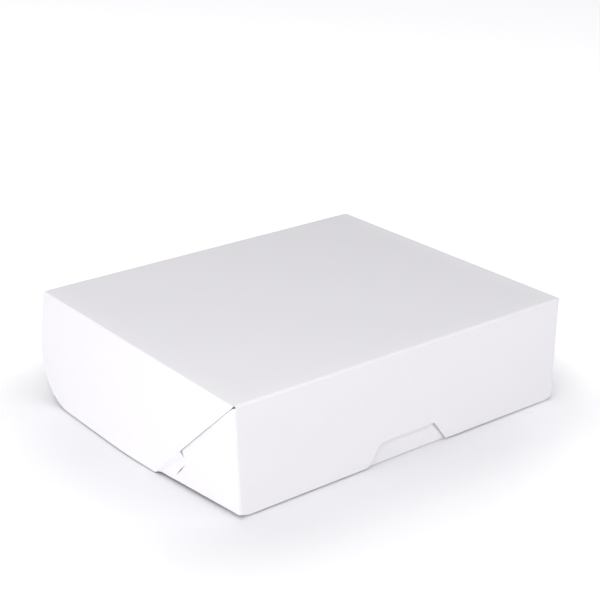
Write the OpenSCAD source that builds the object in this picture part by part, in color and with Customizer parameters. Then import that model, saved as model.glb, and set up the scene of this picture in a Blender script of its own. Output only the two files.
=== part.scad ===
// Takeaway food box folded from white board: a tray with glued corners and a cap lid on a crease along its back.
// The lid's front flap has an ear at each end. A side flap hangs over each ear and locks its tongue into the ear's slit.
// Millimetres. X runs along the front, Y from front to back and Z up from the surface that the box stands on.

/* [Box] */
// Width of the closed lid along the front
box_w = 200; // [140:1:320]
// Depth of the closed box from front to back
box_d = 172; // [120:1:280]
// Height of the closed box
box_h = 55.5; // [40:0.5:90]

/* [Board] */
// Thickness of the board
board_t = 0.5; // [0.3:0.05:0.8]
// Inside radius of every fold
fold_r = 0.6; // [0.3:0.1:1]

/* [Tray] */
// Free space between the tray's walls and the lid around them
tray_clear = 1; // [0.4:0.1:2]
// Drop of the tray's rim below the lid's top panel
rim_gap = 0.4; // [0.2:0.1:3]
// Length of the glued corner tabs
tab_l = 24; // [8:1:34]
// Step from a side wall's top and bottom edges in to its tabs
tab_inset = 1.2; // [0.6:0.1:4]
// Narrowing of the tabs at their free ends
tab_taper = 5; // [0:1:10]

/* [Front flap] */
// Inset of the ears from each side of the lid at the top
front_inset = 0.6; // [0.3:0.1:1.5]
// Further inset of the ears at the bottom of the front flap
front_taper = 1.6; // [0:0.1:3]
// Gap between the lid's flaps and the floor
floor_gap = 0.8; // [0.3:0.1:2]
// Width of the thumb notch at the bottom edge
notch_w = 49; // [20:0.2:80]
// Width of the thumb notch at its top
notch_top_w = 33.2; // [8:0.2:80]
// Height of the thumb notch above the floor
notch_h = 11.6; // [4:0.2:20]
// Length of the slope at each end of the front flap's bottom edge, up to the ear's fold
corner_cut_l = 3.5; // [1:0.1:8]
// Height of that slope, which the ears' bottom edges keep
corner_cut_h = 1.2; // [0.4:0.1:3]

/* [Side flaps] */
// Outward lean of the side flaps, in degrees
side_splay = 7.2; // [6.2:0.1:9]
// Slope of a side flap's front edge below the fold, in degrees
lock_slope = 43; // [41:1:50]
// Radius of the rounded lower back corner
corner_r = 32; // [5:1:34]

/* [Lock] */
// Outward turn of the ears, in degrees
ear_splay = 6; // [3:0.1:6.5]
// Length of the ears from the front flap
ear_l = 62; // [56:1:76]
// Slope of the ears' top edge, in degrees
ear_slope = 35.5; // [34:0.5:37]
// Length of the tongue along the side flap's front edge
tongue_w = 28; // [20:0.5:32]
// Width of the tongue's tip
tongue_tip_w = 7; // [4:0.5:12]
// Reach of the tongue past that edge
tongue_l = 10; // [9:0.2:12]
// Inward turn of the tongue, in degrees
tongue_turn = 29; // [27:1:32]
// Free space on each side of the tongue in its slit
slit_gap = 0.25; // [0.1:0.05:0.5]

/* [Hidden] */
$fn = 64;

outer_r = fold_r + board_t;

// The tray stands inside the lid: its walls keep clear of the ears and the front flap
tray_half_w = box_w/2 - front_inset - front_taper - board_t - tray_clear;
tray_front = -box_d/2 + board_t + tray_clear;
rim_z = box_h - board_t - rim_gap;
wall_h = rim_z - outer_r;
// A glued tab sinks a little into the wall that carries it
glue_bite = 0.1;
side_wall_l = box_d/2 - tray_front - 2*(board_t + outer_r - glue_bite);

// The crease along the back turns through a right angle: the tray and the lid each carry nearly half of it
crease_turn = 42;
crease_half_w = tray_half_w;

front_half_w = box_w/2 - front_inset - outer_r;
front_h = box_h - outer_r - floor_gap;
front_lean = atan(front_taper/front_h);
low_half_w = front_half_w - front_taper;
corner_relief = 0.8;

// A side flap's length down from its fold to the floor gap, measured along the flap
side_turn = 90 - side_splay;
side_fold_drop = outer_r*(1 - cos(side_turn));
side_l = (box_h - floor_gap - side_fold_drop)/cos(side_splay);
side_w = box_d - 2*outer_r;

// A flat panel: the sheet's outer face lies in the local XY plane
module board(outline) {
    translate([0, 0, -board_t]) linear_extrude(board_t) polygon(outline);
}

// A fold along the local X axis that turns the sheet down, and what comes after it
module fold(length, turn) {
    translate([length, 0, -outer_r]) rotate([0, -90, 0])
        rotate_extrude(angle = turn) translate([fold_r, 0]) square([board_t, length]);
    translate([0, outer_r*sin(turn), -outer_r*(1 - cos(turn))]) rotate([-turn, 0, 0]) children();
}

module left_and_right() {
    children();
    mirror([1, 0, 0]) children();
}

// A corner tab, folded off the end of a side wall and glued inside the front or back wall
module glue_tab() {
    root = wall_h - 2*tab_inset;
    translate([tab_inset, 0, 0]) fold(root, 90)
        board([[0, 0], [root, 0], [root - tab_taper, tab_l], [tab_taper, tab_l]]);
}

module side_wall() {
    board([[0, 0], [side_wall_l, 0], [side_wall_l, wall_h], [0, wall_h]]);
    rotate([0, 0, 90]) glue_tab();
    translate([side_wall_l, wall_h]) rotate([0, 0, -90]) glue_tab();
}

// The front or back wall, which stops a board's thickness short of the side walls' outer faces
module end_wall(height) {
    half_w = tray_half_w - board_t;
    board([[-half_w, 0], [half_w, 0], [half_w, height], [-half_w, height]]);
}

module tray() {
    base_half_w = tray_half_w - outer_r;
    base_front = tray_front + outer_r;
    base_back = box_d/2 - outer_r;
    back_h = box_h - 2*outer_r;

    color([0.93, 0.93, 0.94]) mirror([0, 0, 1]) {
        board([
            [-base_half_w, base_front],
            [base_half_w, base_front],
            [base_half_w, base_back],
            [-base_half_w, base_back]
        ]);
        translate([base_half_w, base_front]) rotate([0, 0, 180])
            fold(2*base_half_w, 90) translate([base_half_w, 0]) end_wall(wall_h);
        translate([-base_half_w, base_back])
            fold(2*base_half_w, 90) translate([base_half_w, 0]) {
                end_wall(back_h);
                translate([-crease_half_w, back_h]) fold(2*crease_half_w, crease_turn);
            }
        left_and_right()
            translate([-base_half_w, tray_front + board_t - glue_bite + outer_r]) rotate([0, 0, 90])
                fold(side_wall_l, 90) side_wall();
    }
}

// A strip of board seen end on and drawn out along X: flat for a lead, turned down, then flat again for a reach
module bent_board(length, lead, turn, reach) {
    steps = 12;
    far = [outer_r*sin(turn) + reach*cos(turn), -outer_r*(1 - cos(turn)) - reach*sin(turn)];
    rotate([90, 0, 90]) linear_extrude(length) polygon([
        [-lead, -board_t],
        [-lead, 0],
        for (k = [0:steps]) outer_r*[sin(turn*k/steps), cos(turn*k/steps)] - [0, outer_r],
        far,
        far - board_t*[sin(turn), cos(turn)],
        for (k = [0:steps]) fold_r*[sin(turn - turn*k/steps), cos(turn - turn*k/steps)] - [0, outer_r]
    ]);
}

// The front flap with its thumb notch. Its ends are set back inside the ears' roots
module front_flap() {
    notch_low = notch_w/2;
    notch_high = notch_top_w/2;
    notch_top = front_h - notch_h + floor_gap;
    set_back = 1.2;
    board([
        [-front_half_w, 0],
        [front_half_w, 0],
        [front_half_w - set_back, 2*corner_relief],
        [low_half_w - set_back, front_h],
        [notch_low, front_h],
        [notch_high, notch_top],
        [-notch_high, notch_top],
        [-notch_low, front_h],
        [set_back - low_half_w, front_h],
        [set_back - front_half_w, 2*corner_relief]
    ]);
}

// An ear: it runs on from the front flap, turns back at the slanted fold and reaches under the side flap
module ear() {
    root_l = 6;
    fold_end = -box_d/2 + outer_r;
    ear_top = box_h - outer_r - corner_relief;
    ear_foot = floor_gap + corner_cut_h;
    ear_end = fold_end + min(ear_l*cos(ear_splay), (ear_top - 2*ear_foot)/tan(ear_slope));
    intersection() {
        translate([-low_half_w, -box_d/2, floor_gap]) rotate([90, -90 - front_lean, 0])
            translate([-2, 0, 0])
                bent_board(2 + front_h - corner_relief, root_l, 90 - ear_splay, ear_l + 5);
        translate([-box_w, 0, 0]) rotate([90, 0, 90]) linear_extrude(box_w) polygon([
            [-box_d, 0],
            [-box_d, box_h],
            [fold_end, box_h],
            [fold_end, ear_top],
            [ear_end, ear_top - (ear_end - fold_end)*tan(ear_slope)],
            [ear_end, ear_foot],
            [fold_end, ear_foot],
            [fold_end, 0]
        ]);
    }
}

// A side flap, cut to its outline: front edge on the lock slope, lower back corner rounded
module side_flap() {
    front = -box_d/2 + outer_r;
    slope_top = box_h - side_fold_drop - 0.2;
    root_l = 3;
    intersection() {
        translate([-box_w/2 + outer_r, front, box_h]) rotate([0, 0, 90])
            bent_board(side_w, root_l, side_turn, side_l + 5);
        translate([-box_w, 0, 0]) rotate([90, 0, 90]) linear_extrude(box_w) polygon([
            [-box_d, box_h + 1],
            [-box_d, slope_top],
            [front, slope_top],
            [front + side_l/tan(lock_slope), floor_gap],
            for (turn = [0:7.5:90]) [
                front + side_w - corner_r*(1 - sin(turn)),
                floor_gap + corner_r*(1 - cos(turn))*cos(side_splay)
            ],
            [front + side_w, box_h + 1]
        ]);
    }
}

// The tongue on a side flap's front edge, with its faces let out to cut the slit
module tongue(grow = 0) {
    edge_l = side_l/sin(lock_slope);
    root = 0.15;
    tip_start = 3.7;
    translate([-box_w/2 + outer_r, -box_d/2 + outer_r, box_h]) rotate([0, 0, 90])
        translate([0, outer_r*sin(side_turn), -side_fold_drop]) rotate([-side_turn, 0, 0])
            rotate([0, 0, lock_slope])
                translate([edge_l - tongue_w, 0, -board_t/2]) rotate([-tongue_turn, 0, 0])
                    translate([0, 0, -board_t/2 - grow]) linear_extrude(board_t + 2*grow)
                        polygon([
                            [-grow, -root],
                            [tongue_w, -root],
                            [tip_start + tongue_tip_w + grow, tongue_l],
                            [tip_start - grow, tongue_l]
                        ]);
}

// The slope at an end of the front flap's bottom edge, up to the ear's fold
module corner_cut() {
    cut_top = floor_gap + corner_cut_h;
    fold_x = box_w - low_half_w;
    translate([-box_w, -box_d/2 + outer_r, 0]) rotate([90, 0, 0]) linear_extrude(2*outer_r) polygon([
        [0, 0],
        [fold_x + corner_cut_l, 0],
        [fold_x + corner_cut_l, floor_gap],
        [fold_x, cut_top],
        [0, cut_top]
    ]);
}

module below_flaps() {
    translate([-box_w, -box_d, floor_gap - box_h]) cube([2*box_w, 2*box_d, box_h]);
}

module lid() {
    top_half_w = box_w/2 - outer_r;
    top_half_d = box_d/2 - outer_r;

    color("white") difference() {
        union() {
            translate([0, 0, box_h]) {
                board([
                    [-top_half_w, -top_half_d],
                    [top_half_w, -top_half_d],
                    [top_half_w, top_half_d],
                    [-top_half_w, top_half_d]
                ]);
                translate([front_half_w, -top_half_d]) rotate([0, 0, 180])
                    fold(2*front_half_w, 90) translate([front_half_w, 0]) front_flap();
                translate([-crease_half_w, top_half_d]) fold(2*crease_half_w, crease_turn);
            }
            left_and_right() {
                side_flap();
                tongue();
                difference() {
                    ear();
                    tongue(slit_gap);
                }
            }
        }
        left_and_right() corner_cut();
        below_flaps();
    }
}

tray();
lid();
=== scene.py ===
"""A closed takeaway food box, folded from white board: an open tray and a cap lid on a crease along its back."""

import math

import bpy
import numpy as np
from mathutils import Matrix, Vector
from mathutils.geometry import delaunay_2d_cdt


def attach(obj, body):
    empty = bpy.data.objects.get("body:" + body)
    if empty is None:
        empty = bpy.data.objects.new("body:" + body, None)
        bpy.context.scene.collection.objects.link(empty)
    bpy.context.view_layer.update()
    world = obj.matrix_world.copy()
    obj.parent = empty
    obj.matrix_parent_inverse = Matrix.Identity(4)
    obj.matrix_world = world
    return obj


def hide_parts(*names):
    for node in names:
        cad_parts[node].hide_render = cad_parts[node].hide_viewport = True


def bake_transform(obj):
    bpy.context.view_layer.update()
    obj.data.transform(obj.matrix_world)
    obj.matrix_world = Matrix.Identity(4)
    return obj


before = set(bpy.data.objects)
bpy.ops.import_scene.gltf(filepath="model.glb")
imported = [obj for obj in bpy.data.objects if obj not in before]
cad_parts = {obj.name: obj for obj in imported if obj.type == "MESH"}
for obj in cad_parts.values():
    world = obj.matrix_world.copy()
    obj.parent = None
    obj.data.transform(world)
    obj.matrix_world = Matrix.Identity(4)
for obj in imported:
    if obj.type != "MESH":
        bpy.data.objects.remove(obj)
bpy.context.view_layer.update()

# --- Camera ---
# It looks down on the front left corner from 22 degrees, from about 0.75 m away.
# A long lens on a 36 mm sensor, with no shift and no depth of field.
camera = bpy.data.objects.new("camera", bpy.data.cameras.new("camera"))
camera.data.sensor_width = 36
camera.data.lens = 86.609
camera.location = (-0.407348, -0.544209, 0.327384)
camera.rotation_euler = [math.radians(turn) for turn in (67.972, 0.595, -37.119)]
bpy.context.scene.collection.objects.link(camera)
bpy.context.scene.camera = camera


# --- Floor and light ---
# A white floor that runs out of view, so that the box stands in white with only its own soft shadow.
# Large soft lamps stand around it as in a white tent, the brightest low at the left, and the sky fills in from above.
def add(tree, kind, inputs=None, **settings):
    """Adds a node. Each of its inputs takes a plain value or is joined to another node's output."""
    made = tree.nodes.new(kind)
    for name, value in settings.items():
        setattr(made, name, value)
    for name, value in (inputs or {}).items():
        if isinstance(value, bpy.types.NodeSocket):
            tree.links.new(value, made.inputs[name])
        else:
            made.inputs[name].default_value = value
    return made


def sum_up(tree, operation, *values):
    """A Math node's result: each value is a number or another node's output."""
    return add(tree, "ShaderNodeMath", dict(enumerate(values)), operation=operation).outputs[0]


def new_material(name):
    material = bpy.data.materials.new(name)
    material.use_nodes = True
    material.node_tree.nodes.clear()
    return material


# Seen directly, the floor glows with painted light: a camera-only brightening that grows away from the box and its
# front left corner, whitening the lamps' falloff and the box's cast shadow out there. Near the box it keeps the
# shadow.
box_half_size = (0.1, 0.086, 0)
front_left = (-0.06, -0.06, 0)
near_painted_lift, far_painted_lift = 0.15, 0.33
floor_paint = new_material("white_floor")
paint_tree = floor_paint.node_tree
path = add(paint_tree, "ShaderNodeLightPath")
seen = sum_up(paint_tree, "MAXIMUM", path.outputs["Is Camera Ray"], path.outputs["Is Glossy Ray"])
seen = sum_up(paint_tree, "MAXIMUM", seen, path.outputs["Is Transmission Ray"])
spot = add(paint_tree, "ShaderNodeTexCoord").outputs["Object"]


def smooth_step(value, low, high, height):
    """Rises smoothly from 0 to height as the value goes from low to high."""
    inputs = {"Value": value, "From Min": low, "From Max": high, "To Min": 0.0, "To Max": height}
    return add(paint_tree, "ShaderNodeMapRange", inputs, interpolation_type="SMOOTHSTEP").outputs[0]


def by_vector(operation, *values):
    """A Vector Math node in the floor's tree."""
    return add(paint_tree, "ShaderNodeVectorMath", dict(enumerate(values)), operation=operation)


beyond = by_vector("SUBTRACT", by_vector("ABSOLUTE", spot).outputs[0], box_half_size).outputs[0]
beyond = by_vector("LENGTH", by_vector("MAXIMUM", beyond, (0, 0, 0)).outputs[0]).outputs["Value"]
from_front_left = by_vector("DISTANCE", spot, front_left).outputs["Value"]
lift = sum_up(
    paint_tree,
    "ADD",
    smooth_step(beyond, 0.015, 0.07, near_painted_lift),
    smooth_step(from_front_left, 0.09, 0.23, far_painted_lift),
)
paint = add(paint_tree, "ShaderNodeBsdfDiffuse", {"Color": (0.85, 0.85, 0.87, 1)})
# Painted glow: emission seen by the camera, stronger away from the box, that brightens the floor where lamp light
# falls off and the box's shadow falls.
painted_floor_glow = add(
    paint_tree,
    "ShaderNodeEmission",
    {"Color": (1, 1, 1, 1), "Strength": sum_up(paint_tree, "MULTIPLY", seen, lift)},
)
both = add(paint_tree, "ShaderNodeAddShader", {0: paint.outputs[0], 1: painted_floor_glow.outputs[0]})
add(paint_tree, "ShaderNodeOutputMaterial", {"Surface": both.outputs[0]})

floor_mesh = bpy.data.meshes.new("floor")
floor_edge = 6
floor_corners = [(x * floor_edge, y * floor_edge, 0) for x, y in ((-1, -1), (1, -1), (1, 1), (-1, 1))]
floor_mesh.from_pydata(floor_corners, [], [(0, 1, 2, 3)])
floor_mesh.materials.append(floor_paint)
floor = bpy.data.objects.new("floor", floor_mesh)
bpy.context.scene.collection.objects.link(floor)


def soft_lamp(name, place, aim, width, watts):
    """A square white lamp at a place, turned to face its aim."""
    lamp = bpy.data.objects.new(name, bpy.data.lights.new(name, "AREA"))
    lamp.data.size = width
    lamp.data.energy = watts
    lamp.data.color = (1, 1, 1)
    lamp.location = place
    lamp.rotation_euler = (Vector(aim) - Vector(place)).to_track_quat("-Z", "Y").to_euler()
    bpy.context.scene.collection.objects.link(lamp)


box_middle = (0, 0, 0.03)
top_front_corner = (-0.05, -0.05, 0.05)
soft_lamp("left_lamp", (-1.2, -0.25, 0.3), box_middle, 0.6, 7.1)
soft_lamp("front_lamp", (0.7, -1.15, 0.35), box_middle, 0.8, 6.9)
soft_lamp("back_lamp", (-0.3, 1.0, 0.9), box_middle, 1.0, 2.8)
soft_lamp("overhead_lamp", (-0.1, 0.1, 1.1), box_middle, 1.2, 2.4)
soft_lamp("corner_lamp", (-0.3, -0.35, 0.42), top_front_corner, 0.2, 0.64)

sky = bpy.data.worlds.new("white_sky")
sky.use_nodes = True
sky.node_tree.nodes.clear()
path = add(sky.node_tree, "ShaderNodeLightPath")
seen = sum_up(sky.node_tree, "MAXIMUM", path.outputs["Is Camera Ray"], path.outputs["Is Transmission Ray"])
upward = add(sky.node_tree, "ShaderNodeTexCoord").outputs["Generated"]
upward = add(sky.node_tree, "ShaderNodeSeparateXYZ", {0: upward}).outputs["Z"]
level = add(
    sky.node_tree,
    "ShaderNodeMapRange",
    {"Value": upward, "From Min": 0.3, "From Max": 0.9, "To Min": 0.0, "To Max": 0.65},
).outputs[0]
level = sum_up(sky.node_tree, "MAXIMUM", level, seen)
air = add(sky.node_tree, "ShaderNodeBackground", {"Color": (0.99, 0.99, 1, 1), "Strength": level})
add(sky.node_tree, "ShaderNodeOutputWorld", {"Surface": air.outputs[0]})
bpy.context.scene.world = sky
bpy.context.scene.view_settings.view_transform = "Standard"

# --- Tray ---
# The base and the four walls are one piece of half-millimetre board, coated white outside.
# It is cut flat, scored and folded up. A tab at each end of a side wall is glued inside the wall that it meets.
mm = 0.001
box_w = 200.0
box_d = 172.0
box_h = 55.5
board_t = 0.5
fold_r = 1.1  # outside radius of every fold
front_inset = 0.6
front_taper = 1.6
tray_clear = 1.0
rim_gap = 0.4


def board_material(name, low, high, roughness, coat_waves, fibre):
    """White board, with its grain in the sheet's own coordinates, so that it runs through the folds."""
    material = new_material(name)
    tree = material.node_tree
    sheet = add(tree, "ShaderNodeUVMap", uv_map="sheet").outputs[0]
    along = add(tree, "ShaderNodeMapping", {"Vector": sheet, "Scale": (260, 1500, 1)}).outputs[0]
    grain = add(tree, "ShaderNodeTexNoise", {"Vector": along, "Scale": 1, "Detail": 5, "Roughness": 0.6})
    mottle = add(tree, "ShaderNodeTexNoise", {"Vector": sheet, "Scale": 55, "Detail": 3, "Roughness": 0.55})
    pores = add(tree, "ShaderNodeTexNoise", {"Vector": sheet, "Scale": 900, "Detail": 2, "Roughness": 0.5})
    worn = add(tree, "ShaderNodeAttribute", attribute_name="scored")
    tint = add(
        tree,
        "ShaderNodeMix",
        {"Factor": mottle.outputs[0], "A": (*low, 1), "B": (*high, 1)},
        data_type="RGBA",
    )
    # Where the sheet is folded, its coat is stretched: a little rougher.
    rough = sum_up(tree, "MULTIPLY_ADD", grain.outputs[0], 0.12, roughness - 0.06)
    rough = sum_up(tree, "MULTIPLY_ADD", worn.outputs["Fac"], 0.1, rough)
    relief = sum_up(tree, "MULTIPLY", grain.outputs[0], fibre)
    relief = sum_up(tree, "MULTIPLY_ADD", pores.outputs[0], 0.5 * fibre, relief)
    relief = sum_up(tree, "MULTIPLY_ADD", mottle.outputs[0], coat_waves, relief)
    bump = add(tree, "ShaderNodeBump", {"Height": relief, "Distance": 0.001, "Strength": 1})
    shader = add(
        tree,
        "ShaderNodeBsdfPrincipled",
        {
            "Base Color": tint.outputs["Result"],
            "Roughness": rough,
            "IOR": 1.48,
            "Normal": bump.outputs[0],
        },
    )
    add(tree, "ShaderNodeOutputMaterial", {"Surface": shader.outputs[0]})
    return material


coated = board_material("coated_white", (0.874, 0.858, 0.890), (0.894, 0.878, 0.908), 0.46, 0.05, 0.01)
plain = board_material("plain_white", (0.84, 0.835, 0.845), (0.875, 0.87, 0.876), 0.8, 0.04, 0.05)


def edge_material():
    """The cut edge shows the board's grey core between its white faces, a little fuzzy."""
    material = new_material("cut_edge")
    tree = material.node_tree
    place = add(tree, "ShaderNodeTexCoord").outputs["Object"]
    fuzz = add(tree, "ShaderNodeTexNoise", {"Vector": place, "Scale": 1600, "Detail": 3, "Roughness": 0.6})
    tint = add(
        tree,
        "ShaderNodeMix",
        {"Factor": fuzz.outputs[0], "A": (0.74, 0.735, 0.735, 1), "B": (0.86, 0.855, 0.85, 1)},
        data_type="RGBA",
    )
    bump = add(tree, "ShaderNodeBump", {"Height": fuzz.outputs[0], "Distance": 0.0001, "Strength": 0.8})
    shader = add(
        tree,
        "ShaderNodeBsdfPrincipled",
        {"Base Color": tint.outputs["Result"], "Roughness": 0.9, "Normal": bump.outputs[0]},
    )
    add(tree, "ShaderNodeOutputMaterial", {"Surface": shader.outputs[0]})
    return material


cut_edge = edge_material()


def fold_tree():
    """Turns one panel of a sheet down about a score line: it wraps a round of the outer radius, then runs on flat."""
    tree = bpy.data.node_groups.new("Fold", "GeometryNodeTree")
    for name, kind in (
        ("Sheet", "Geometry"),
        ("Panel", "String"),
        ("Line point", "Vector"),
        ("Across", "Vector"),
        ("Turn", "Float"),
        ("Outer radius", "Float"),
    ):
        tree.interface.new_socket(name, in_out="INPUT", socket_type="NodeSocket" + kind)
    tree.interface.new_socket("Sheet", in_out="OUTPUT", socket_type="NodeSocketGeometry")
    given = add(tree, "NodeGroupInput").outputs
    place = add(tree, "GeometryNodeInputPosition").outputs[0]
    height = add(tree, "ShaderNodeSeparateXYZ", {0: place}).outputs["Z"]
    from_line = add(tree, "ShaderNodeVectorMath", {0: place, 1: given["Line point"]}, operation="SUBTRACT")
    across = add(
        tree,
        "ShaderNodeVectorMath",
        {0: from_line.outputs[0], 1: given["Across"]},
        operation="DOT_PRODUCT",
    ).outputs["Value"]
    wrapped = sum_up(tree, "DIVIDE", across, given["Outer radius"])
    wrapped = sum_up(tree, "MINIMUM", sum_up(tree, "MAXIMUM", wrapped, 0), given["Turn"])
    strip = sum_up(tree, "MULTIPLY", given["Turn"], given["Outer radius"])
    beyond = sum_up(tree, "MAXIMUM", sum_up(tree, "SUBTRACT", across, strip), 0)
    before = sum_up(tree, "MINIMUM", across, 0)
    radius = sum_up(tree, "ADD", given["Outer radius"], height)
    sine, cosine = sum_up(tree, "SINE", wrapped), sum_up(tree, "COSINE", wrapped)
    reach = sum_up(tree, "MULTIPLY_ADD", radius, sine, sum_up(tree, "MULTIPLY_ADD", beyond, cosine, before))
    drop = sum_up(tree, "MULTIPLY_ADD", beyond, sine, given["Outer radius"])
    rise = sum_up(tree, "SUBTRACT", sum_up(tree, "MULTIPLY", radius, cosine), drop)
    slide = add(
        tree,
        "ShaderNodeVectorMath",
        {0: given["Across"], "Scale": sum_up(tree, "SUBTRACT", reach, across)},
        operation="SCALE",
    )
    lift = add(tree, "ShaderNodeCombineXYZ", {"Z": sum_up(tree, "SUBTRACT", rise, height)})
    move = add(tree, "ShaderNodeVectorMath", {0: slide.outputs[0], 1: lift.outputs[0]})
    panel = add(tree, "GeometryNodeInputNamedAttribute", {"Name": given["Panel"]}, data_type="BOOLEAN")
    moved = add(
        tree,
        "GeometryNodeSetPosition",
        {"Geometry": given["Sheet"], "Selection": panel.outputs[0], "Offset": move.outputs[0]},
    )
    add(tree, "NodeGroupOutput", {"Sheet": moved.outputs[0]})
    return tree


fold = fold_tree()


def folded_board_tree(name, folds):
    """Gives a flat blank its thickness, then makes its folds in turn, the outermost panels first."""
    tree = bpy.data.node_groups.new(name, "GeometryNodeTree")
    turns = sorted({turn for _, _, _, turn in folds})
    sockets = [("Flat blank", "Geometry"), ("Board thickness", "Float"), ("Outer radius", "Float")]
    sockets += [(turn, "Float") for turn in turns]
    sockets += [("Outside", "Material"), ("Inside", "Material"), ("Cut edge", "Material")]
    for socket, kind in sockets:
        tree.interface.new_socket(socket, in_out="INPUT", socket_type="NodeSocket" + kind)
    tree.interface.new_socket("Folded board", in_out="OUTPUT", socket_type="NodeSocketGeometry")
    given = add(tree, "NodeGroupInput").outputs
    upward = add(tree, "ShaderNodeCombineXYZ", {"Z": given["Board thickness"]})
    raised = add(
        tree,
        "GeometryNodeExtrudeMesh",
        {"Mesh": given["Flat blank"], "Offset": upward.outputs[0], "Offset Scale": 1, "Individual": False},
    )
    outer = add(
        tree,
        "GeometryNodeStoreNamedAttribute",
        {"Geometry": raised.outputs["Mesh"], "Name": "cut", "Value": raised.outputs["Side"]},
        data_type="BOOLEAN",
        domain="FACE",
    )
    turned_over = add(tree, "GeometryNodeFlipFaces", {"Mesh": given["Flat blank"]})
    inner = add(
        tree,
        "GeometryNodeStoreNamedAttribute",
        {"Geometry": turned_over.outputs[0], "Name": "inner", "Value": True},
        data_type="BOOLEAN",
        domain="FACE",
    )
    joined = add(tree, "GeometryNodeJoinGeometry")
    tree.links.new(inner.outputs[0], joined.inputs[0])
    tree.links.new(outer.outputs[0], joined.inputs[0])
    sheet = add(tree, "GeometryNodeMergeByDistance", {"Geometry": joined.outputs[0], "Distance": 1e-6}).outputs[0]
    for panel, point, across, turn in folds:
        sheet = add(
            tree,
            "GeometryNodeGroup",
            {
                "Sheet": sheet,
                "Panel": panel,
                "Line point": (point[0] * mm, point[1] * mm, 0),
                "Across": (*across, 0),
                "Turn": given[turn],
                "Outer radius": given["Outer radius"],
            },
            node_tree=fold,
        ).outputs[0]
    sheet = add(tree, "GeometryNodeRealizeInstances", {"Geometry": sheet}).outputs[0]
    for finish, face in (("Outside", None), ("Inside", "inner"), ("Cut edge", "cut")):
        inputs = {"Geometry": sheet, "Material": given[finish]}
        if face:
            chosen = add(tree, "GeometryNodeInputNamedAttribute", {"Name": face}, data_type="BOOLEAN")
            inputs["Selection"] = chosen.outputs[0]
        sheet = add(tree, "GeometryNodeSetMaterial", inputs).outputs[0]
    add(tree, "NodeGroupOutput", {"Folded board": sheet})
    return tree


def divided(points, step):
    """The same line with extra points, no further apart than step."""
    made = []
    for a, b in zip(points[:-1], points[1:]):
        count = max(1, math.ceil(math.dist(a, b) / step))
        made += [(a[0] + (b[0] - a[0]) * k / count, a[1] + (b[1] - a[1]) * k / count) for k in range(count)]
    return made + [tuple(points[-1])]


def within(points, outline):
    """Which of the points lie inside a closed outline."""
    inside = np.zeros(len(points), bool)
    for a, b in zip(outline, outline[1:] + outline[:1]):
        if a[1] != b[1]:
            crosses = (points[:, 1] < a[1]) != (points[:, 1] < b[1])
            at = a[0] + (points[:, 1] - a[1]) * (b[0] - a[0]) / (b[1] - a[1])
            inside ^= crosses & (points[:, 0] < at)
    return inside


def score_lines(start, end, turn):
    """Lines along one fold: close together where the sheet bends, and a few on the flat at each side."""
    length = math.dist(start, end)
    along = ((end[0] - start[0]) / length, (end[1] - start[1]) / length)
    across = (along[1], -along[0])
    strip = fold_r * turn
    bend_step = math.radians(13)
    beside = (0.12, 1.2, 3.5)
    steps = max(2, math.ceil(turn / bend_step))
    offsets = [-gap for gap in reversed(beside)] + [strip * k / steps for k in range(steps + 1)]
    offsets += [strip + gap for gap in beside]
    return [
        [(p[0] + across[0] * offset, p[1] + across[1] * offset) for p in (start, end)] for offset in offsets
    ]


def cut_blank(name, outline, lines, panels, bow):
    """Cuts a flat blank to its outline, in millimetres, and marks which points each fold carries."""
    step = 8.0
    clear_of_lines = 2.2
    score_reach = 0.8
    chains = [divided(outline + outline[:1], step)] + [divided(line, step) for line in lines]
    points, edges = [], []
    for chain in chains:
        first = len(points)
        points += chain
        edges += [(first + k, first + k + 1) for k in range(len(chain) - 1)]
    ends = np.array([(points[a], points[b]) for a, b in edges])
    low, high = np.min(outline, 0), np.max(outline, 0)
    mesh_points = np.array(
        [(u, v) for u in np.arange(low[0], high[0], step) for v in np.arange(low[1], high[1], step)]
    )
    mesh_points = mesh_points[within(mesh_points, outline)]
    run = ends[:, 1] - ends[:, 0]
    size = np.maximum((run**2).sum(1), 1e-12)
    part = ((mesh_points[:, None] - ends[:, 0]) * run).sum(2) / size
    gap = mesh_points[:, None] - ends[:, 0] - np.clip(part, 0, 1)[..., None] * run
    mesh_points = mesh_points[np.sqrt((gap**2).sum(2)).min(1) > clear_of_lines]
    points += [tuple(p) for p in mesh_points]
    corners, _, faces, _, _, _ = delaunay_2d_cdt([Vector(p) for p in points], edges, [], 0, 1e-5, False)
    flat = np.array([tuple(c) for c in corners])
    middles = np.array([flat[list(f)].mean(0) for f in faces])
    faces = [f for f, kept in zip(faces, within(middles, outline)) if kept]
    used = sorted({c for f in faces for c in f})
    number = {c: k for k, c in enumerate(used)}
    flat = flat[used]
    faces = [[number[c] for c in f] for f in faces]

    blank = bpy.data.meshes.new(name)
    height = bow(flat[:, 0], flat[:, 1]) - board_t
    blank.from_pydata((np.column_stack([flat, height]) * mm).tolist(), [], faces)
    grid = blank.uv_layers.new(name="sheet")
    corner_points = np.empty(len(blank.loops), int)
    blank.loops.foreach_get("vertex_index", corner_points)
    grid.data.foreach_set("uv", (flat[corner_points] * mm).astype(np.float32).ravel())
    for panel, chosen in panels(flat[:, 0], flat[:, 1]).items():
        blank.attributes.new(panel, "BOOLEAN", "POINT").data.foreach_set("value", chosen)
    scored = np.zeros(len(flat))
    for line in lines:
        a, b = np.array(line)
        run = b - a
        part = np.clip(((flat - a) @ run) / (run @ run), 0, 1)
        gap = np.linalg.norm(flat - a - part[:, None] * run, axis=1)
        scored = np.maximum(scored, np.exp(-((gap / score_reach) ** 2)))
    blank.attributes.new("scored", "FLOAT", "POINT").data.foreach_set("value", scored.astype(np.float32))
    piece = bpy.data.objects.new(name, blank)
    bpy.context.scene.collection.objects.link(piece)
    return piece


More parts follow.
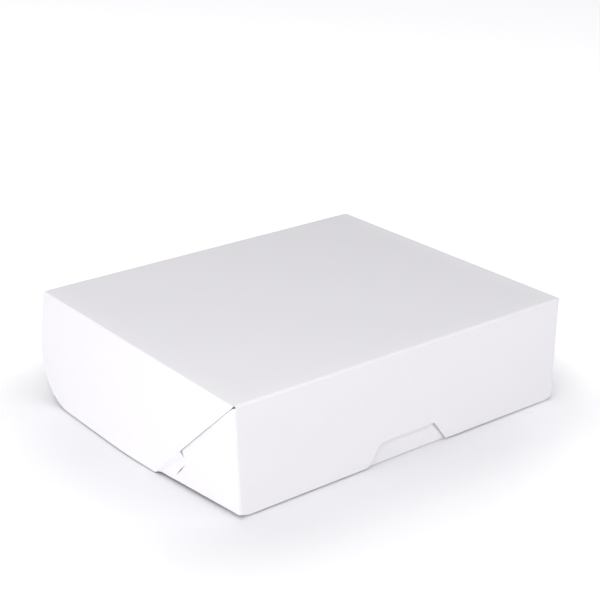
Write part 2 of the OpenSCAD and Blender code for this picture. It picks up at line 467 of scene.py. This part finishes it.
def fold_up(piece, tree, turns):
    """Runs the blank through its tree and keeps the result as a plain mesh."""
    sizes = {"Board thickness": board_t * mm, "Outer radius": fold_r * mm}
    sizes |= {"Outside": coated, "Inside": plain, "Cut edge": cut_edge} | turns
    folding = piece.modifiers.new(tree.name, "NODES")
    folding.node_group = tree
    for socket in tree.interface.items_tree:
        if socket.in_out == "INPUT" and socket.name in sizes:
            folding[socket.identifier] = sizes[socket.name]
    bpy.context.view_layer.update()
    done = piece.evaluated_get(bpy.context.evaluated_depsgraph_get())
    folded = bpy.data.meshes.new_from_object(done)
    piece.modifiers.clear()
    piece.data = folded
    folded.shade_smooth()
    folded.set_sharp_from_angle(angle=math.radians(35))


right_angle = math.pi / 2
corner_strip = fold_r * right_angle
tray_half_w = box_w / 2 - front_inset - front_taper - board_t - tray_clear
tray_front = -box_d / 2 + board_t + tray_clear
wall_h = box_h - board_t - rim_gap - fold_r
base_half_w = tray_half_w - fold_r
base_front = tray_front + fold_r
base_back = box_d / 2 - fold_r
back_h = box_h - 2 * fold_r
end_half_w = tray_half_w - board_t
tab_l, tab_inset, tab_taper = 24.0, 1.2, 5.0
glue = 0.02  # between a tab and the wall that it is glued to
side_front = tray_front + board_t + fold_r + glue
side_back = box_d / 2 - board_t - fold_r - glue

front_edge = base_front - corner_strip
back_edge = base_back + corner_strip
side_edge = base_half_w + corner_strip
tab_low, tab_high = side_edge + tab_inset, side_edge + wall_h - tab_inset
half_outline = [
    (end_half_w, front_edge - wall_h),
    (end_half_w, front_edge),
    (base_half_w, front_edge),
    (base_half_w, side_front),
    (side_edge, side_front),
    (tab_low, side_front),
    (tab_low, side_front - corner_strip),
    (tab_low + tab_taper, side_front - corner_strip - tab_l),
    (tab_high - tab_taper, side_front - corner_strip - tab_l),
    (tab_high, side_front - corner_strip),
    (tab_high, side_front),
    (side_edge + wall_h, side_front),
    (side_edge + wall_h, side_back),
    (tab_high, side_back),
    (tab_high, side_back + corner_strip),
    (tab_high - tab_taper, side_back + corner_strip + tab_l),
    (tab_low + tab_taper, side_back + corner_strip + tab_l),
    (tab_low, side_back + corner_strip),
    (tab_low, side_back),
    (base_half_w, side_back),
    (base_half_w, back_edge),
    (end_half_w, back_edge),
    (end_half_w, back_edge + back_h),
]
tray_outline = half_outline + [(-u, v) for u, v in reversed(half_outline)]


def tray_panels(u, v):
    marked = {"front": (v < base_front) & (abs(u) < side_edge), "back": (v > base_back) & (abs(u) < side_edge)}
    for side, sign in (("left", -1), ("right", 1)):
        wall = (sign * u > base_half_w) & (v > side_front - 0.001) & (v < side_back + 0.001)
        wall |= sign * u > side_edge
        marked[side] = wall
        marked[side + "_front_tab"] = wall & (v < side_front)
        marked[side + "_back_tab"] = wall & (v > side_back)
    return marked


def tray_bow(u, v):
    """The walls lean in by a few tenths of a millimetre halfway along, as board does between glued corners."""
    side_half, front_half, most = 83, 96, 0.35
    up_side = np.clip((abs(u) - side_edge) / wall_h, 0, 1)
    up_front = np.clip((front_edge - v) / wall_h, 0, 1)
    side_bow = up_side * np.clip(1 - (v / side_half) ** 2, 0, 1) * (v > side_front) * (v < side_back)
    front_bow = up_front * np.clip(1 - (u / front_half) ** 2, 0, 1) * (abs(u) < end_half_w)
    return -most * side_bow - most * front_bow


tray_folds, tray_lines = [], []
for sign, side in ((-1, "left"), (1, "right")):
    for v, way, end in ((side_front, -1, "front"), (side_back, 1, "back")):
        tray_folds.append((f"{side}_{end}_tab", (sign * tab_low, v), (0, way), "Tab turn"))
        ends = [(sign * tab_low, v), (sign * tab_high, v)]
        tray_lines += score_lines(*sorted(ends, reverse=way > 0), right_angle)
for sign, side in ((-1, "left"), (1, "right")):
    tray_folds.append((side, (sign * base_half_w, 0), (sign, 0), "Wall turn"))
    ends = [(sign * base_half_w, side_front), (sign * base_half_w, side_back)]
    tray_lines += score_lines(*sorted(ends, reverse=sign < 0), right_angle)
for v, way, end in ((base_front, -1, "front"), (base_back, 1, "back")):
    tray_folds.append((end, (0, v), (0, way), "Wall turn"))
    ends = [(-base_half_w, v), (base_half_w, v)]
    tray_lines += score_lines(*sorted(ends, reverse=way > 0), right_angle)

tray = cut_blank("tray_board", tray_outline, tray_lines, tray_panels, tray_bow)
fold_up(tray, folded_board_tree("Folded tray", tray_folds), {"Tab turn": right_angle, "Wall turn": right_angle})
# The blank folds down from its outer face, so the tray is turned over to stand on it.
tray.data.transform(Matrix.Rotation(math.pi, 4, "Y"))
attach(tray, "tray")
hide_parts("tray")

# --- Lid ---
# The top, the front flap with its thumb notch, an ear off each end of it and the two side flaps are one sheet.
# Each side flap hangs over an ear and is held by a tongue that is pushed in through the slit in the ear.
floor_gap = 0.8
notch_w, notch_top_w, notch_h = 49.0, 33.2, 11.6
cut_l, cut_h = 3.5, 1.2
side_splay = math.radians(7.2)
lock_slope = math.radians(43)
corner_r = 32.0
ear_turn = math.radians(84)
ear_l = 62.0
ear_slope = math.radians(35.5)
ear_drop = 0.2
tongue_w, tongue_tip_w, tongue_l = 28.0, 7.0, 10.0
tongue_turn = math.radians(29)
slit_top, slit_foot = (12.6, 35.9), (3.6, 44.2)  # up the ear's fold and out from it
half_slit = 0.12

top_half_w = box_w / 2 - fold_r
top_half_d = box_d / 2 - fold_r
front_half_w = box_w / 2 - front_inset - fold_r
front_h = box_h - fold_r - floor_gap
low_half_w = front_half_w - front_taper
front_top = -top_half_d - corner_strip
front_foot = front_top - front_h
ear_edge = math.hypot(front_taper, front_h)
ear_strip = fold_r * ear_turn
side_turn = right_angle - side_splay
side_strip = fold_r * side_turn
side_l = (box_h - floor_gap - fold_r * (1 - math.cos(side_turn))) / math.cos(side_splay)
side_w = box_d - 2 * fold_r
tongue_strip = fold_r * tongue_turn
tongue_start = side_l / math.sin(lock_slope) - tongue_w
tip_start = 3.7

up_ear = (-front_taper / ear_edge, front_h / ear_edge)
out_ear = (-up_ear[1], up_ear[0])


def on_ear(up, out):
    """A point of the left ear, measured up its fold from the lower corner and out from the fold's far side."""
    out += ear_strip
    return (-low_half_w + up_ear[0] * up + out_ear[0] * out, front_foot + up_ear[1] * up + out_ear[1] * out)


def on_side(back, down):
    """A point of the left side flap, measured back from its front corner and down from the fold."""
    return (-top_half_w - side_strip - down, -top_half_d + back)


def on_tongue(along, out):
    """A point of the left tongue, measured down the side flap's front edge and out from the fold's far side."""
    along += tongue_start
    out += tongue_strip
    cosine, sine = math.cos(lock_slope), math.sin(lock_slope)
    return on_side(along * cosine - out * sine, along * sine + out * cosine)


# The slit is closed: the outline runs in to it and back out along one line, which leaves no cut.
slit_middle = [(a + b) / 2 for a, b in zip(slit_top, slit_foot)]
ear_back_h = ear_edge - ear_drop - ear_l * math.tan(ear_slope)
half_outline = [
    (-notch_top_w / 2, front_foot + notch_h - floor_gap),
    (-notch_w / 2, front_foot),
    (-low_half_w + cut_l, front_foot),
    on_ear(cut_h, -ear_strip),
    on_ear(cut_h, 0),
    on_ear(cut_h, slit_foot[1]),
    on_ear(*slit_foot),
    on_ear(slit_middle[0] - half_slit, slit_middle[1] - half_slit),
    on_ear(*slit_top),
    on_ear(slit_middle[0] + half_slit, slit_middle[1] + half_slit),
    on_ear(*slit_foot),
    on_ear(cut_h, slit_foot[1]),
    on_ear(cut_h, ear_l - 2),
    on_ear(cut_h + 2, ear_l),
    on_ear(ear_back_h, ear_l),
    on_ear(ear_edge - ear_drop, 0),
    on_ear(ear_edge, 0),
    (-front_half_w, front_top),
    (-front_half_w, -top_half_d),
    (-top_half_w, -top_half_d),
    on_side(0, 0),
    on_tongue(0, -tongue_strip),
    on_tongue(0, 0),
    on_tongue(tip_start, tongue_l),
    on_tongue(tip_start + tongue_tip_w, tongue_l),
    on_tongue(tongue_w, 0),
    on_tongue(tongue_w, -tongue_strip),
    on_side(side_l / math.tan(lock_slope), side_l),
]
half_outline += [
    on_side(
        side_w - corner_r + corner_r * math.sin(math.radians(turn)),
        side_l - corner_r + corner_r * math.cos(math.radians(turn)),
    )
    for turn in range(0, 91, 6)
]
half_outline += [on_side(side_w, 0), (-top_half_w, top_half_d)]
lid_outline = half_outline + [(-u, v) for u, v in reversed(half_outline)]


def lid_panels(u, v):
    marked = {"front": v < -top_half_d}
    for side, sign in (("left", -1), ("right", 1)):
        left_u = -sign * u
        out = (left_u + low_half_w) * out_ear[0] + (v - front_foot) * out_ear[1]
        marked[side + "_ear"] = (v < front_top) & (out > 0)
        flap = (left_u < -top_half_w) & (v > -top_half_d - 0.001)
        marked[side] = flap
        corner = on_side(0, 0)
        past = -(left_u - corner[0]) * math.cos(lock_slope) - (v - corner[1]) * math.sin(lock_slope)
        marked[side + "_tongue"] = flap & (past > 0)
    return marked


def lid_bow(u, v):
    """How far the sheet is from flat: the top sags, the front flap bows in, and the tongue pulls the side flap in."""
    left_u = -abs(u)
    top = np.clip(1 - (u / top_half_w) ** 2, 0, 1) * np.clip(1 - (v / top_half_d) ** 2, 0, 1)
    down_front = np.clip((front_top - v) / front_h, 0, 1)
    front = down_front * np.clip(1 - (u / low_half_w) ** 2, 0, 1)
    down = np.clip((-top_half_w - side_strip - left_u) / side_l, 0, 1) * (v > -top_half_d - 0.001)
    back = (v + top_half_d) / side_w
    pulled = down**1.5 * np.exp(-(((back - 0.3) / 0.13) ** 2))
    bulge = down * (1 - down) * 4 * np.exp(-(((back - 0.62) / 0.3) ** 2))
    # The ear's two lips at the slit: the front one rides over the tongue, and the back one lies under it.
    end, foot = np.array(on_ear(*slit_top)), np.array(on_ear(*slit_foot))
    slit_l = np.linalg.norm(foot - end)
    run = (foot - end) / slit_l
    along = (left_u - end[0]) * run[0] + (v - end[1]) * run[1]
    off = (left_u - end[0]) * run[1] - (v - end[1]) * run[0]
    shown = np.clip(along / 2.5, 0, 1) * np.clip((slit_l - along) / 2.5, 0, 1)
    shown *= (v < front_top) * (left_u < -low_half_w - 5)
    lips = np.sign(off) * shown * np.exp(-abs(off) / 3.0)
    top_sag, front_sag, corner_pull, side_bulge, lip_lift = 0.3, 0.3, 2.2, 0.3, 0.5
    sag = -top_sag * top - front_sag * front
    return sag - corner_pull * pulled + side_bulge * bulge + lip_lift * lips


lid_folds, lid_lines = [], []
for sign, side in ((-1, "left"), (1, "right")):
    edge = on_side(0, 0)
    across_tongue = (-math.cos(lock_slope), -math.sin(lock_slope))
    for panel, point, across, turn in (
        (side + "_ear", (-low_half_w, front_foot), out_ear, "Ear turn"),
        (side + "_tongue", edge, across_tongue, "Tongue turn"),
    ):
        lid_folds.append((panel, (-sign * point[0], point[1]), (-sign * across[0], across[1]), turn))
    lines = score_lines(on_ear(cut_h, -ear_strip), on_ear(ear_edge, -ear_strip), ear_turn)
    lines += score_lines(on_tongue(tongue_w, -tongue_strip), on_tongue(0, -tongue_strip), tongue_turn)
    lines += score_lines((-top_half_w, top_half_d), (-top_half_w, -top_half_d), side_turn)
    for off in (-5, -2.4, -0.9, 0.9, 2.4, 5):
        lines.append([on_ear(up + 0.7 * off, out + 0.7 * off) for up, out in (slit_top, slit_foot)])
    lid_lines += [[(-sign * u, v) for u, v in line] for line in lines]
for sign, side in ((-1, "left"), (1, "right")):
    lid_folds.append((side, (sign * top_half_w, 0), (sign, 0), "Side turn"))
lid_folds.append(("front", (0, -top_half_d), (0, -1), "Front turn"))
lid_lines += score_lines((-front_half_w, -top_half_d), (front_half_w, -top_half_d), right_angle)

lid = cut_blank("lid_board", lid_outline, lid_lines, lid_panels, lid_bow)
lid_turns = {"Ear turn": ear_turn, "Tongue turn": tongue_turn, "Side turn": side_turn, "Front turn": right_angle}
fold_up(lid, folded_board_tree("Folded lid", lid_folds), lid_turns)
lid.data.transform(Matrix.Translation((0, 0, box_h * mm)))
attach(lid, "lid")
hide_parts("lid")

# --- Back crease ---
# The strip of board between the tray's back wall and the lid's top, scored so that it bends as the lid opens.
# It is the same sheet as both. Here it is folded to its closed shape and attached to neither body.
crease_outline = [
    (-tray_half_w, top_half_d),
    (tray_half_w, top_half_d),
    (tray_half_w, top_half_d + corner_strip),
    (-tray_half_w, top_half_d + corner_strip),
]
crease_folds = [("crease", (0, top_half_d), (0, 1), "Crease turn")]
# Only the lines inside the bend: the strip has no flat beside them, and its own edges are the first and the last.
crease_lines = score_lines((tray_half_w, top_half_d), (-tray_half_w, top_half_d), right_angle)[4:-4]
crease = cut_blank(
    "back_crease",
    crease_outline,
    crease_lines,
    lambda u, v: {"crease": v > top_half_d},
    lambda u, v: 0 * u,
)
fold_up(crease, folded_board_tree("Folded crease", crease_folds), {"Crease turn": right_angle})
crease.data.transform(Matrix.Translation((0, 0, box_h * mm)))
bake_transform(crease)
